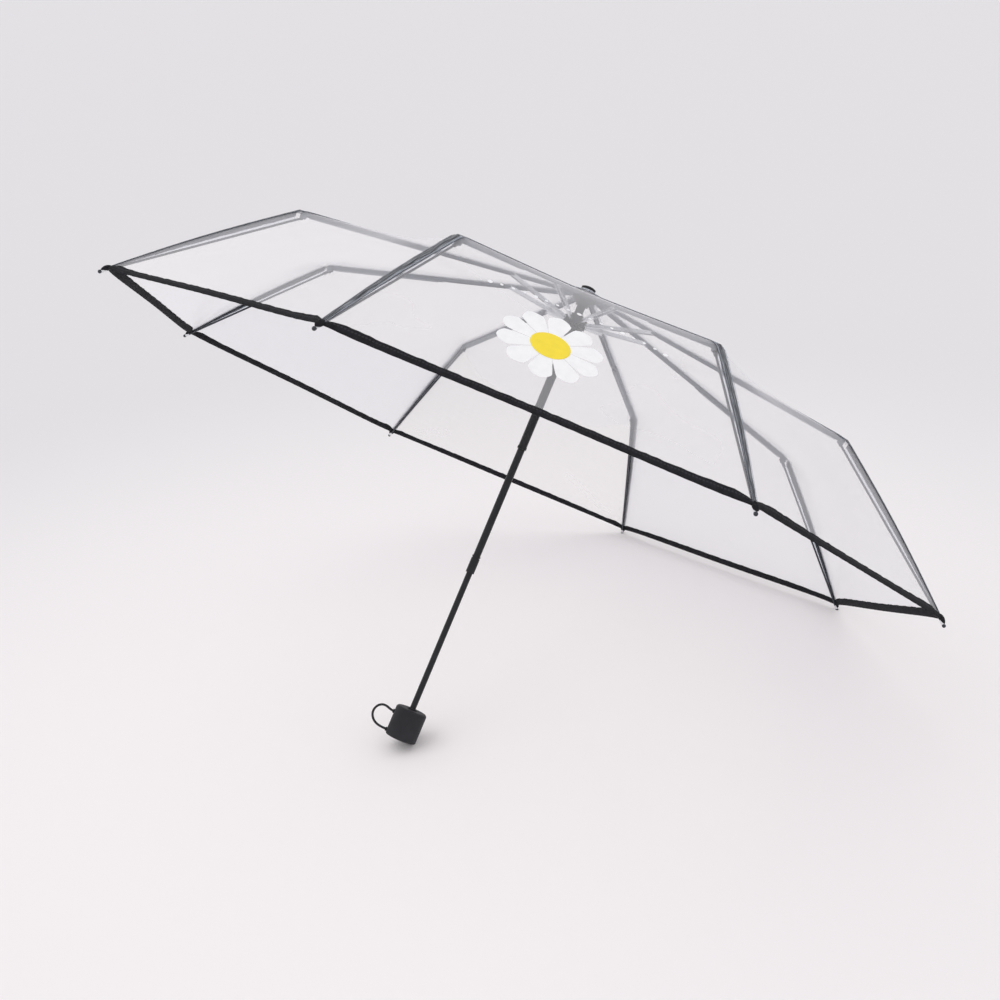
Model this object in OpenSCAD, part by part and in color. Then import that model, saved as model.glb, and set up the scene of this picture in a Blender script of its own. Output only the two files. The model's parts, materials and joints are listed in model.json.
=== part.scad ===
// Clear compact folding umbrella: eight ribs in three sections, a three-piece telescoping shaft,
// a film canopy in flat gores, and a short handle with a wrist loop. Shown open, shaft along +Z.
// The origin is the centre of the handle's flat lower end.

/* [Canopy] */
// Radius of the open canopy at the rib tips
tip_r = 470; // [440:1:500]
// Height of the canopy's corners above the handle's lower end
tip_z = 332; // [310:1:345]
// Radius of the fold ring, where the middle and end ribs join
fold_r = 324; // [300:1:340]
// Height of the film at the fold ring
fold_z = 466.5; // [455:0.5:480]
// Thickness of the film's closed solids
film_t = 0.2; // [0.1:0.1:1]
// Gap between one film panel and the next
panel_gap = 0.5; // [0.3:0.1:1]
// Height of the film's underside over the ribs' centre line
film_lift = 2.5; // [2.4:0.1:4]

/* [Ribs] */
// Radius of the circle of rib pivots on the crown and on the runner
pivot_r = 9.5; // [9.3:0.1:12]
// Height of the crown's rib pivots
crown_z = 525; // [515:1:535]
// Length of a top rib, pivot to pivot
top_len = 166; // [150:1:180]
// Length of a stretcher, pivot to pivot, and its pivot's distance from the crown pivot
strut_len = 81; // [76:1:82]
// Width of a top rib
rib_w = 3.2; // [2.6:0.1:3.2]
// Depth of a top rib
rib_h = 3.5; // [3:0.1:4]
// Sheet thickness of the channel ribs that straddle the top rib
sheet_t = 0.7; // [0.5:0.1:0.9]
// Depth of the stretcher and middle rib channels
channel_h = 4; // [3.4:0.1:4.4]
// Drop of the fold pivot below the middle rib's centre line
fold_drop = 4.5; // [4.2:0.1:6]
// Radius of an end rib's wire
wire_r = 1.1; // [0.9:0.1:1.3]
// Length of wire past the canopy's corner, up to the ball's centre
tip_out = 7; // [5:0.5:10]
// Radius of the ball on a rib tip
ball_r = 1.9; // [1.8:0.1:3]
// Radius of the rivets that the ribs turn on
rivet_r = 0.75; // [0.6:0.05:0.9]
// Radial play of a rib's eye on its rivet
play = 0.07; // [0.03:0.01:0.1]

/* [Shaft] */
// Outer radius of the top tube, which the runner slides on
top_tube_r = 4.75; // [4.5:0.05:5]
// Wall of each tube
tube_wall = 0.65; // [0.5:0.05:0.7]
// Radial play between the tubes and under the runner
tube_play = 0.05; // [0.02:0.01:0.1]
// Height of the top tube's lower end
top_tube_z = 342; // [336:1:344]
// Height of the middle tube's lower end
middle_tube_z = 195; // [185:1:205]
// Length of each tube that stays inside the next one
tube_overlap = 20; // [15:1:25]
// Length of the crimped collar at the middle tube's lower end
collar_len = 20; // [12:1:22]

/* [Crown and runner] */
// Radius of the crown and of the runner's collar
hub_r = 13; // [12:0.5:15]
// Height of the crown's and the runner's collars
hub_h = 10; // [9:0.5:12]
// Side play of a rib in its slot
slot_play = 0.2; // [0.1:0.05:0.3]
// Thickness of the plate that the film rests on
plate_t = 1.8; // [1.2:0.1:2.5]
// Radius of the cap over the crown
cap_r = 8.2; // [7:0.1:10]
// Height of the cap
cap_h = 8; // [6:0.5:10]
// Outer radius of the runner's sleeve
sleeve_r = 7.2; // [7:0.1:7.3]
// Length of the runner's sleeve below its collar
sleeve_len = 12; // [8:1:14]
// Travel of the catch that holds the runner up
catch_travel = 1.7; // [1:0.1:2]
// Width of the catch
catch_w = 2.8; // [2:0.1:3.2]

/* [Handle] */
// Radius of the handle
handle_r = 17.5; // [15:0.5:17.5]
// Length of the handle
handle_len = 34; // [32:1:36]
// Rounding of the handle's shoulder
shoulder_r = 3; // [1:0.5:5]
// Radius of the end cap that closes the handle
base_r = 14; // [11:0.5:14.5]
// Thickness of the end cap
base_t = 2.5; // [2:0.1:4]
// Height of the loop's lower end on the handle
loop_low = 4; // [4:1:8]
// Height of the loop's upper end on the handle
loop_high = 25; // [20:1:28]
// Radius of the loop's cord
loop_r = 1.3; // [1:0.1:1.6]

/* [Hidden] */
$fn = 48;

ribs = 8;
step = 360 / ribs;
half = step / 2;

// The line of the top and middle ribs in a rib's own plane: x is the radius and z the height.
fold_dx = fold_r - pivot_r;
fold_dz = crown_z - fold_z;
fold_far = norm([fold_dx, fold_dz]);
lift = film_lift + film_t;
rib_slope = atan2(fold_dz, fold_dx) + asin(lift / fold_far);
line_len = sqrt(fold_far * fold_far - lift * lift);
fold_inset = 4;
fold_at = line_len - fold_inset;
middle_len = fold_at - top_len;
strut_drop = 2 * strut_len * sin(rib_slope);
runner_z = crown_z - strut_drop;

// Where a point at distance d along the rib line, and up from it by u, stands in the rib's plane
function on_line(d, u = 0) = [
    pivot_r + d * cos(rib_slope) + u * sin(rib_slope),
    crown_z - d * sin(rib_slope) + u * cos(rib_slope)
];

// The end rib runs from the fold pivot to just below the canopy's corner.
fold_pivot = on_line(fold_at, -fold_drop);
outer_dx = tip_r - fold_r;
outer_dz = fold_z - tip_z;
outer_far = norm([outer_dx, outer_dz]);
wire_gap = 0.4;
wire_drop = wire_r + film_t + wire_gap;
corner = [tip_r - wire_drop * outer_dz / outer_far, tip_z - wire_drop * outer_dx / outer_far];
end_slope = atan2(fold_pivot[1] - corner[1], corner[0] - fold_pivot[0]);
end_len = norm([corner[0] - fold_pivot[0], fold_pivot[1] - corner[1]]);

eye_r = rib_h / 2;
bore_r = rivet_r + play;
cheek_in = rib_w / 2 + 0.1;
cheek_out = cheek_in + sheet_t;
rivet_head_r = 1.5;
rivet_head_t = 0.5;
tongue_w = rib_w - 0.2;
tongue_len = 26;
tongue_lap = 8;
web_start = 14;
trough_start = 8;
trough_clear = 6;
lug_back = 4;
eye_block = 7;
film_rings = 4;
crown_slope_end = 36;
film_hole_r = 4.2;

middle_tube_r = top_tube_r - tube_wall - tube_play;
lower_tube_r = middle_tube_r - tube_wall - tube_play;
pin_r = 0.7;
slot_w = rib_w + 2 * slot_play;
pin_hold = 1.1;
pin_long = slot_w + 2 * pin_hold;
slot_root = sleeve_r + 0.2;
plate_z = crown_z + eye_r + 0.4;
cap_z = plate_z + plate_t + film_t + 0.2;
cap_stem_r = 2;
runner_low = runner_z - hub_h / 2 - sleeve_len;
catch_h = 8;
catch_low = runner_low - catch_h - 0.4;
tube_foot = base_t + 4;
catch_out = catch_travel;
catch_az = 270;
catch_side = 0.2;
collar_t = 0.5;
seat_gap = 0.02;
crown_neck = 6;
runner_neck = 4;

// How far each tube goes down when the shaft is pushed together
top_travel = top_tube_z - middle_tube_z - collar_len - 2;
middle_travel = middle_tube_z - handle_len - 23;

loop_seat = handle_r + 1.6;
boss_r = loop_r + 0.9;
foot_r = 2;

// The wrist loop's route, from its upper end to its lower end, in round numbers
LOOP = [
    [-19.1, 0, 25], [-21.5, 0, 25.2], [-24, 0.4, 26], [-27, 0.8, 27], [-30, 1.2, 27.2],
    [-33, 1.5, 26.4], [-35.8, 1.5, 24.4], [-37.8, 1.5, 21.4], [-38.8, 1.2, 18], [-38.6, 0.8, 14.4],
    [-37.2, 0.4, 11], [-34.8, 0, 8.2], [-31.6, 0, 6], [-27.8, 0, 4.6], [-23, 0, 4.1],
    [-19.1, 0, 4],
];

// A child drawn in a rib's own plane, turned to the azimuth of rib k
module in_rib(k) { rotate([0, 0, (k + 3.5) * step]) children(); }

// A child drawn along +X, moved to a point of the rib's plane and sloped down by an angle
module along(point, slope) {
    translate([point[0], 0, point[1]]) rotate([0, slope, 0]) children();
}

// A round bar across the rib at x along it, from side to side
module cross_bar(x, z, r, width) {
    translate([x, 0, z]) rotate([90, 0, 0]) cylinder(r = r, h = width, center = true);
}

// A rivet with its two heads, outside the cheeks of a channel
module rivet(x, z) {
    cross_bar(x, z, rivet_r, 2 * cheek_out + 0.4);
    for (side = [-1, 1])
        translate([x, side * (cheek_out + 0.1 + rivet_head_t / 2), z])
            rotate([90, 0, 0])
                cylinder(r = rivet_head_r, h = rivet_head_t, center = true);
}

// One flat cheek of a channel with round ends, on both sides
module cheeks(from, to) {
    for (side = [-1, 1])
        translate([0, side * (cheek_in + sheet_t / 2), 0])
            rotate([90, 0, 0])
                linear_extrude(sheet_t, center = true)
                    union() {
                        translate([from, 0]) circle(channel_h / 2);
                        translate([to, 0]) circle(channel_h / 2);
                        translate([from, -channel_h / 2]) square([to - from, channel_h]);
                    }
}

module top_rib_shape() {
    difference() {
        union() {
            translate([0, -rib_w / 2, -rib_h / 2]) cube([top_len, rib_w, rib_h]);
            cross_bar(0, 0, eye_r, rib_w);
            cross_bar(top_len, 0, eye_r, rib_w);
            rivet(strut_len, 0);
            rivet(top_len, 0);
        }
        cross_bar(0, 0, pin_r + play, rib_w + 1);
        for (span = [[trough_start, strut_len - trough_clear],
                     [strut_len + trough_clear, top_len - trough_clear]])
            translate([span[0], -rib_w / 2 + sheet_t, -rib_h / 2 - 1])
                cube([span[1] - span[0], rib_w - 2 * sheet_t, rib_h - sheet_t + 1]);
    }
}

// Channel with two cheeks, a tongue that goes into the runner's slot, and a web above
module stretcher_shape() {
    lap_at = strut_len - tongue_len - tongue_lap;
    tongue_h = channel_h - 0.2;
    difference() {
        union() {
            cheeks(0, strut_len - tongue_len);
            translate([web_start, -cheek_in, -channel_h / 2])
                cube([lap_at + tongue_lap - web_start, 2 * cheek_in, sheet_t]);
            translate([lap_at, -tongue_w / 2, -channel_h / 2])
                cube([tongue_len + tongue_lap, tongue_w, tongue_h]);
            translate([lap_at, -cheek_in, -channel_h / 2])
                cube([tongue_lap, 2 * cheek_in, tongue_h]);
            translate([0, 0, (tongue_h - channel_h) / 2])
                cross_bar(strut_len, 0, tongue_h / 2, tongue_w);
        }
        cross_bar(0, 0, bore_r, 2 * cheek_out + 1);
    }
}

// Channel with two cheeks and a web below, and two lugs that drop to the fold pivot
module middle_rib_shape() {
    web_from = trough_clear;
    web_len = middle_len - web_from - tongue_lap;
    difference() {
        union() {
            cheeks(0, middle_len);
            translate([web_from, -cheek_in, -channel_h / 2 - sheet_t])
                cube([web_len, 2 * cheek_in, sheet_t]);
            for (side = [-1, 1])
                translate([0, side * (cheek_in + sheet_t / 2), 0])
                    rotate([90, 0, 0])
                        linear_extrude(sheet_t, center = true)
                            union() {
                                translate([middle_len - lug_back, -fold_drop])
                                    square([lug_back + eye_r, fold_drop]);
                                translate([middle_len, -fold_drop]) circle(eye_r);
                                translate([web_from, -channel_h / 2 - sheet_t])
                                    square([web_len, sheet_t + 0.1]);
                            }
            rivet(middle_len, -fold_drop);
        }
        cross_bar(0, 0, bore_r, 2 * cheek_out + 1);
    }
}

// Wire with an eye at the fold pivot and a ball on its tip
module end_rib_shape() {
    eye_w = 2 * cheek_in - 0.3;
    difference() {
        union() {
            cross_bar(0, 0, eye_r, eye_w);
            translate([0, -eye_w / 2, -wire_r]) cube([eye_block, eye_w, 2 * wire_r]);
            rotate([0, 90, 0]) cylinder(r = wire_r, h = end_len + tip_out);
            translate([end_len + tip_out, 0, 0]) sphere(ball_r);
        }
        cross_bar(0, 0, bore_r, eye_w + 1);
    }
}

module rib_top(k) { color("slategray") in_rib(k) along(on_line(0), rib_slope) top_rib_shape(); }
module stretcher(k) {
    color("silver") in_rib(k) along(on_line(strut_len), 180 - rib_slope) stretcher_shape();
}
module rib_middle(k) {
    color("slategray") in_rib(k) along(on_line(top_len), rib_slope) middle_rib_shape();
}
module rib_end(k) { color("dimgray") in_rib(k) along(fold_pivot, end_slope) end_rib_shape(); }

// A flat film panel between two rib lines, each end given as [radius, height] on the rib.
// The panel is drawn about its own middle line and its thickness goes down from the film's face.
module film_panel(inner, outer) {
    run = (outer[0] - inner[0]) * cos(half);
    drop = inner[1] - outer[1];
    far = norm([run, drop]);
    down = [-drop / far * film_t, -run / far * film_t];
    cut = panel_gap / 2;
    a = [inner[0] * cos(half) + cut * run / far, inner[1] - cut * drop / far];
    b = [outer[0] * cos(half) - cut * run / far, outer[1] + cut * drop / far];
    wide_a = inner[0] * sin(half) - panel_gap;
    wide_b = outer[0] * sin(half) - panel_gap;
    face = [
        [a[0], -wide_a, a[1]], [a[0], wide_a, a[1]],
        [b[0], wide_b, b[1]], [b[0], -wide_b, b[1]]
    ];
    back = [for (p = face) [p[0] + down[0], p[1], p[2] + down[1]]];
    polyhedron(
        concat(face, back),
        [[0, 1, 2, 3], [7, 6, 5, 4], [4, 5, 1, 0], [5, 6, 2, 1], [6, 7, 3, 2], [7, 4, 0, 3]]
    );
}

// A child drawn on the middle line of gore k, which lies between rib k and rib k + 1
module in_gore(k) { in_rib(k) rotate([0, 0, half]) children(); }

module canopy_middle(k) {
    color("lightsteelblue", 0.4) in_gore(k)
        film_panel(on_line(top_len, lift), [fold_r, fold_z]);
}
module canopy_outer(k) {
    color("lightsteelblue", 0.4) in_gore(k) film_panel([fold_r, fold_z], [tip_r, tip_z]);
}

// The film's middle: a flat ring on the crown's plate, a short slope, and eight flat gores
module canopy_crown() {
    top = plate_z + plate_t + film_t;
    plate_edge = [hub_r / cos(half) + 0.5, top];
    low = on_line(crown_slope_end, lift);
    far = on_line(top_len, lift);
    gap = panel_gap / 2;
    rings = [[film_hole_r, top], plate_edge, low, [far[0] - gap, far[1] + gap * tan(rib_slope)]];
    color("lightsteelblue", 0.4) in_rib(1)
        polyhedron(
            [for (skin = [0, 1]) for (ring = rings) for (i = [0 : ribs - 1])
                [ring[0] * cos(i * step), ring[0] * sin(i * step), ring[1] - skin * film_t]],
            concat(
                [for (j = [0 : film_rings - 2]) for (i = [0 : ribs - 1]) each [
                    quad(j, i, 0, true), quad(j, i, film_rings, false)
                ]],
                [for (i = [0 : ribs - 1]) each [rim(i, 0, false), rim(i, film_rings - 1, true)]]
            )
        );
}

// One four-sided face of the film between rings j and j + 1 of a skin
function quad(j, i, skin, flip) =
    let (
        a = (skin + j) * ribs + i, b = (skin + j) * ribs + (i + 1) % ribs,
        c = b + ribs, d = a + ribs
    ) flip ? [a, b, c, d] : [d, c, b, a];

// One four-sided face that closes the film's edge at a ring
function rim(i, ring, flip) =
    let (
        a = ring * ribs + i, b = ring * ribs + (i + 1) % ribs,
        c = b + film_rings * ribs, d = a + film_rings * ribs
    ) flip ? [a, b, c, d] : [d, c, b, a];

// Slots for the eight ribs, open outwards and through a collar's whole height
module rib_slots(low, high) {
    for (k = [1 : ribs])
        in_rib(k) translate([slot_root, -slot_w / 2, low]) cube([hub_r, slot_w, high - low]);
}

// The eight short pins across the crown's slots, which the top ribs turn on
module pins(r, long) {
    for (k = [1 : ribs]) in_rib(k) cross_bar(pivot_r, crown_z, r, long);
}

module crown() {
    low = crown_z - hub_h / 2;
    color("black") difference() {
        union() {
            translate([0, 0, low]) cylinder(r = hub_r, h = plate_z + plate_t - low);
            translate([0, 0, low - crown_neck]) cylinder(r = sleeve_r, h = crown_neck + 1);
        }
        translate([0, 0, low - crown_neck - 1])
            cylinder(r = top_tube_r + seat_gap, h = crown_z - low + crown_neck + 1);
        rib_slots(low - 1, plate_z);
        pins(pin_r + seat_gap, pin_long + 2 * seat_gap);
        translate([0, 0, crown_z - 1]) cylinder(r = cap_stem_r, h = hub_h + plate_t);
    }
}
module crown_pins() { color("silver") pins(pin_r, pin_long); }

module crown_cap() {
    color("black") union() {
        translate([0, 0, cap_z])
            rotate_extrude()
                intersection() {
                    translate([0, -cap_r * 2 + cap_h]) circle(cap_r * 2);
                    square([cap_r, cap_h]);
                }
        translate([0, 0, crown_z + 2])
            cylinder(r = cap_stem_r - seat_gap, h = cap_z - crown_z - 1.9);
    }
}

module tube(outer, low, high) {
    translate([0, 0, low])
        difference() {
            cylinder(r = outer, h = high - low);
            translate([0, 0, -1]) cylinder(r = outer - tube_wall, h = high - low + 2);
        }
}

// A flat-sided block that goes outwards from the shaft's centre on the catch's side
module catch_block(from, to, low, high, width) {
    rotate([0, 0, catch_az])
        translate([from, -width / 2, low]) cube([to - from, width, high - low]);
}

module top_tube() {
    color("dimgray") difference() {
        union() {
            tube(top_tube_r, top_tube_z, crown_z - 0.1);
            translate([0, 0, top_tube_z])
                difference() {
                    cylinder(r = top_tube_r + collar_t, h = 3);
                    translate([0, 0, -1]) cylinder(r = top_tube_r - 0.2, h = 5);
                }
        }
        catch_block(0, 2 * top_tube_r, catch_low - 0.1, runner_low - 0.3, catch_w + catch_side);
    }
}

// Slot in the upper end of an inner tube, which lets the catch go in when the shaft is short
module end_slot(high, travel) {
    catch_block(0, top_tube_r, catch_low - 1 - travel, high + 1, catch_w + 2 * catch_side);
}

module middle_tube() {
    high = top_tube_z + tube_overlap;
    color("dimgray") union() {
        difference() {
            tube(middle_tube_r, middle_tube_z, high);
            end_slot(high, top_travel);
        }
        translate([0, 0, middle_tube_z])
            difference() {
                cylinder(r = top_tube_r, h = collar_len);
                translate([0, 0, -1]) cylinder(r = middle_tube_r - 0.2, h = collar_len + 2);
                translate([0, 0, collar_len - 3])
                    difference() {
                        cylinder(r = top_tube_r + 1, h = 1.2);
                        cylinder(r = middle_tube_r + 0.2, h = 1.2);
                    }
            }
    }
}

module lower_tube() {
    high = middle_tube_z + tube_overlap;
    color("dimgray") difference() {
        tube(lower_tube_r, tube_foot, high);
        end_slot(high, top_travel + middle_travel);
    }
}

module runner() {
    low = runner_z - hub_h / 2;
    high = low + hub_h + runner_neck;
    color("black") difference() {
        union() {
            translate([0, 0, low]) cylinder(r = hub_r, h = hub_h);
            translate([0, 0, runner_low]) cylinder(r = sleeve_r, h = low - runner_low + 1);
            translate([0, 0, low + hub_h - 1]) cylinder(r = sleeve_r, h = runner_neck + 1);
        }
        translate([0, 0, runner_low - 1])
            cylinder(r = top_tube_r + tube_play, h = high - runner_low + 2);
        rib_slots(low - 1, low + hub_h + 1);
        catch_block(0, top_tube_r + catch_out + 0.3, runner_low - 1, high + 1,
            catch_w + 2 * catch_side);
    }
}

// Wedge that stands out of the top tube under the runner, flush with the tube's bore inside
module open_catch() {
    low = catch_low;
    inner = top_tube_r - tube_wall + 0.1;
    outer = top_tube_r + catch_out;
    color("silver") rotate([0, 0, catch_az])
        rotate([90, 0, 0])
            linear_extrude(catch_w, center = true)
                polygon([
                    [inner, low], [top_tube_r, low], [outer, low + catch_h - 1.5],
                    [outer, low + catch_h], [inner, low + catch_h]
                ]);
}

// The handle's outline with its rounded shoulder and foot, turned about the shaft
module handle() {
    color("black") difference() {
        union() {
            rotate_extrude() union() {
                square([handle_r - shoulder_r, handle_len]);
                translate([0, foot_r]) square([handle_r, handle_len - foot_r - shoulder_r]);
                square([handle_r - foot_r, handle_len - shoulder_r]);
                translate([handle_r - foot_r, foot_r]) circle(foot_r);
                translate([handle_r - shoulder_r, handle_len - shoulder_r]) circle(shoulder_r);
            }
            for (z = [loop_low, loop_high])
                translate([-loop_seat, 0, z])
                    rotate([0, 90, 0])
                        cylinder(r = boss_r, h = 6);
        }
        translate([0, 0, tube_foot - 0.1]) cylinder(r = lower_tube_r + seat_gap, h = handle_len);
        translate([0, 0, -1]) cylinder(r = base_r + 0.05, h = base_t + 1);
    }
}
module handle_base() {
    color("black") difference() {
        cylinder(r = base_r, h = base_t - 0.05);
        translate([0, 0, -0.1]) difference() {
            cylinder(r = base_r - 2, h = 0.5);
            cylinder(r = base_r - 3, h = 0.5);
        }
    }
}

// A cord of eight sides swept along a list of points
module swept_cord(route, r) {
    sides = 8;
    last = len(route) - 1;
    function dir(i) =
        let (d = route[min(i + 1, last)] - route[max(i - 1, 0)])
            i == 0 || i == last ? [i == 0 ? -1 : 1, 0, 0] : d / norm(d);
    rings = [for (i = [0 : last])
        let (t = dir(i), v = [0, 1, 0], u = cross(v, t), w = u / norm(u), s = cross(t, w))
            [for (j = [0 : sides - 1])
                route[i] + r * (cos(j * 360 / sides) * w + sin(j * 360 / sides) * s)]];
    polyhedron(
        [for (ring = rings) each ring],
        concat(
            [[for (j = [0 : sides - 1]) j]],
            [for (i = [0 : last - 1]) for (j = [0 : sides - 1])
                let (n = (j + 1) % sides, a = i * sides, b = (i + 1) * sides)
                    [a + n, a + j, b + j, b + n]],
            [[for (j = [sides - 1 : -1 : 0]) last * sides + j]]
        )
    );
}
module wrist_loop() { color("black") swept_cord(LOOP, loop_r); }

handle();
handle_base();
wrist_loop();
lower_tube();
middle_tube();
top_tube();
runner();
open_catch();
crown();
crown_pins();
crown_cap();
canopy_crown();
for (k = [1 : ribs]) {
    rib_top(k);
    stretcher(k);
    rib_middle(k);
    rib_end(k);
    canopy_middle(k);
    canopy_outer(k);
}
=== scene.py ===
"""Clear compact folding umbrella: its film, hem, print, small parts and finishes.

Every length is in metres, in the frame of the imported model: the shaft stands along +Z, the
origin is the centre of the handle's lower end, and the printed gore faces -Y.
"""

from __future__ import annotations

import json
import logging
from dataclasses import dataclass, field
from enum import Enum
from math import asin, atan2, cos, hypot, pi, radians, sin, tan
from typing import Callable

import bpy
import numpy as np
from bpy.types import Material, Node, NodeSocket, Object
from mathutils import Matrix, Vector
from numpy import ndarray

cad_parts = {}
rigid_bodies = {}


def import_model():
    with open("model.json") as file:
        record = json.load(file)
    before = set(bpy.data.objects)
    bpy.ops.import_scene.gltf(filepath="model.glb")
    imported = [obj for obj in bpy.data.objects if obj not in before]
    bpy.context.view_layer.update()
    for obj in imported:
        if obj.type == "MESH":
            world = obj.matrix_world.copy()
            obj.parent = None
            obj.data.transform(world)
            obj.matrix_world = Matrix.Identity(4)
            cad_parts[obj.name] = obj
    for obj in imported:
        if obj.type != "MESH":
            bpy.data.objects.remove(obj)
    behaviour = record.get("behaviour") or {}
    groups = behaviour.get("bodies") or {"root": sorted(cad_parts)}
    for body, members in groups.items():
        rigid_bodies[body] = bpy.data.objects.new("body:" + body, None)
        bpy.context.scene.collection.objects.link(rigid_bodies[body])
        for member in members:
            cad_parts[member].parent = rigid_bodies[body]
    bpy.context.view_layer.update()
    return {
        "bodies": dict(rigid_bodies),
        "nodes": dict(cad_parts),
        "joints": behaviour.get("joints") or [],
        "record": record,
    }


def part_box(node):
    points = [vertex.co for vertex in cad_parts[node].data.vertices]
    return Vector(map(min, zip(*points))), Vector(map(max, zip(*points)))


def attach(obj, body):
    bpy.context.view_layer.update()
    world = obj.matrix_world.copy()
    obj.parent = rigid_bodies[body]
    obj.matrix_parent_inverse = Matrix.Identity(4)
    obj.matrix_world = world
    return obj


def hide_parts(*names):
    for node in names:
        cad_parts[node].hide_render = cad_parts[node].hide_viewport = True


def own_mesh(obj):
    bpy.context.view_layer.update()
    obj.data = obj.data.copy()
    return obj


log = logging.getLogger("umbrella")

Mapping = Callable[[ndarray, ndarray], ndarray]
MM = 0.001
WELD = 1e-6  # vertices this close become one
NO_WIDTH = 1e-6  # keeps a division by a width or a radius finite
SOFT_EDGE = 60.0  # degrees that still shade smooth on film and cloth
FOLDED_SHARE = 0.06  # of a gore's width that is left when it is folded


class Section(Enum):
    """The three lengths of film and seam along a rib."""

    INNER = "inner"
    MIDDLE = "middle"
    OUTER = "outer"

    @property
    def rib(self) -> str:
        """The rib that carries this length."""
        return {"inner": "rib_top", "middle": "rib_middle", "outer": "rib_end"}[self.value]


# --- modelling helpers


def deselect() -> None:
    """Leave edit mode and deselect every object."""
    if bpy.context.object is not None and bpy.context.object.mode != "OBJECT":
        bpy.ops.object.mode_set(mode="OBJECT")
    bpy.ops.object.select_all(action="DESELECT")


def activate(obj: Object) -> None:
    """Make one object the only selected one, and the active one."""
    deselect()
    obj.select_set(True)
    bpy.context.view_layer.objects.active = obj


def edit(obj: Object, mode: str = "VERT", test: Callable[[object], bool] | None = None) -> None:
    """Enter edit mode on one object with all or some of its elements selected.

    Args:
        obj: the object.
        mode: VERT, EDGE or FACE.
        test: takes an element of the mesh and says whether it is selected, or None for all.
    """
    activate(obj)
    bpy.ops.object.mode_set(mode="EDIT")
    bpy.ops.mesh.select_mode(type=mode)
    bpy.ops.mesh.select_all(action="DESELECT" if test else "SELECT")
    if test:
        bpy.ops.object.mode_set(mode="OBJECT")
        mesh = obj.data
        for part in {"VERT": mesh.vertices, "EDGE": mesh.edges, "FACE": mesh.polygons}[mode]:
            part.select = test(part)
        bpy.ops.object.mode_set(mode="EDIT")


def pick(obj: Object, test: Callable[[Vector], bool]) -> None:
    """Select, in edit mode, the vertices whose place passes a test.

    Args:
        obj: the object in edit mode.
        test: takes a vertex's place and says whether it is selected.
    """
    bpy.ops.object.mode_set(mode="OBJECT")
    for vertex in obj.data.vertices:
        vertex.select = test(vertex.co)
    bpy.ops.object.mode_set(mode="EDIT")
    bpy.ops.mesh.select_mode(type="VERT")


def apply_modifier(obj: Object, kind: str, **settings: object) -> None:
    """Add one modifier and apply it.

    Args:
        obj: the object that gets the modifier.
        kind: the modifier's type.
        **settings: the modifier's properties.
    """
    activate(obj)
    modifier = obj.modifiers.new(kind.lower(), kind)
    for key, value in settings.items():
        setattr(modifier, key, value)
    bpy.ops.object.modifier_apply(modifier=modifier.name)


def set_places(obj: Object, places: ndarray) -> None:
    """Give every vertex of a mesh its place."""
    obj.data.vertices.foreach_set("co", places.astype(np.float32).ravel())
    obj.data.update()


def get_places(obj: Object) -> ndarray:
    """Return the places of a mesh's vertices as rows of three."""
    places = np.zeros(len(obj.data.vertices) * 3, np.float32)
    obj.data.vertices.foreach_get("co", places)
    return places.reshape(-1, 3).astype(float)


def linked(name: str, data: bpy.types.ID) -> Object:
    """Make an object of some data and put it in the scene."""
    obj = bpy.data.objects.new(name, data)
    bpy.context.scene.collection.objects.link(obj)
    return obj


def primitive(add: Callable, name: str, **settings: object) -> Object:
    """Add a primitive and put its place and turn into its mesh.

    Args:
        add: the operator that adds it.
        name: the piece's name.
        **settings: the operator's settings.

    Returns:
        The piece, at the origin.
    """
    deselect()
    add(**settings)
    obj = bpy.context.object
    obj.name = obj.data.name = name
    bpy.ops.object.transform_apply(location=True, rotation=True, scale=True)
    return obj


def mapped_grid(name: str, across: int, along: int, mapping: Mapping) -> Object:
    """Model a sheet as a grid whose two directions follow a surface.

    Args:
        name: the piece's name.
        across: number of faces in the first direction.
        along: number of faces in the second direction.
        mapping: takes both directions as numbers from -1 to 1 and gives the places.

    Returns:
        The sheet, at the origin, with its UV map running 0 to 1 both ways.
    """
    obj = primitive(
        bpy.ops.mesh.primitive_grid_add, name, x_subdivisions=across, y_subdivisions=along, size=2
    )
    flat = get_places(obj)
    set_places(obj, mapping(flat[:, 0], flat[:, 1]))
    return obj


def close_tube(obj: Object) -> None:
    """Join the two long edges of a rolled grid, fill its ends and turn its faces out."""
    edit(obj)
    bpy.ops.mesh.remove_doubles(threshold=WELD)
    bpy.ops.mesh.select_all(action="SELECT")
    bpy.ops.mesh.fill_holes(sides=0)
    bpy.ops.mesh.select_all(action="SELECT")
    bpy.ops.mesh.normals_make_consistent(inside=False)
    deselect()


def sink_end(obj: Object, axis: int, wall: float, depth: float, bevel: float) -> None:
    """Sink the face at one end of a cylinder inside a wall, and round its edges.

    Args:
        obj: the cylinder.
        axis: the axis that the face looks along.
        wall: the width of the ring that stays.
        depth: how far the face goes in.
        bevel: the width of the rounding.
    """
    edit(obj, "FACE", lambda face: face.normal[axis] > 0.9)
    bpy.ops.mesh.inset(thickness=wall)
    move = [0.0, 0.0, 0.0]
    move[axis] = -depth
    bpy.ops.mesh.extrude_region_move(TRANSFORM_OT_translate={"value": move})
    deselect()
    apply_modifier(obj, "BEVEL", width=bevel, segments=3, limit_method="ANGLE")
    smooth(obj)


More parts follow.
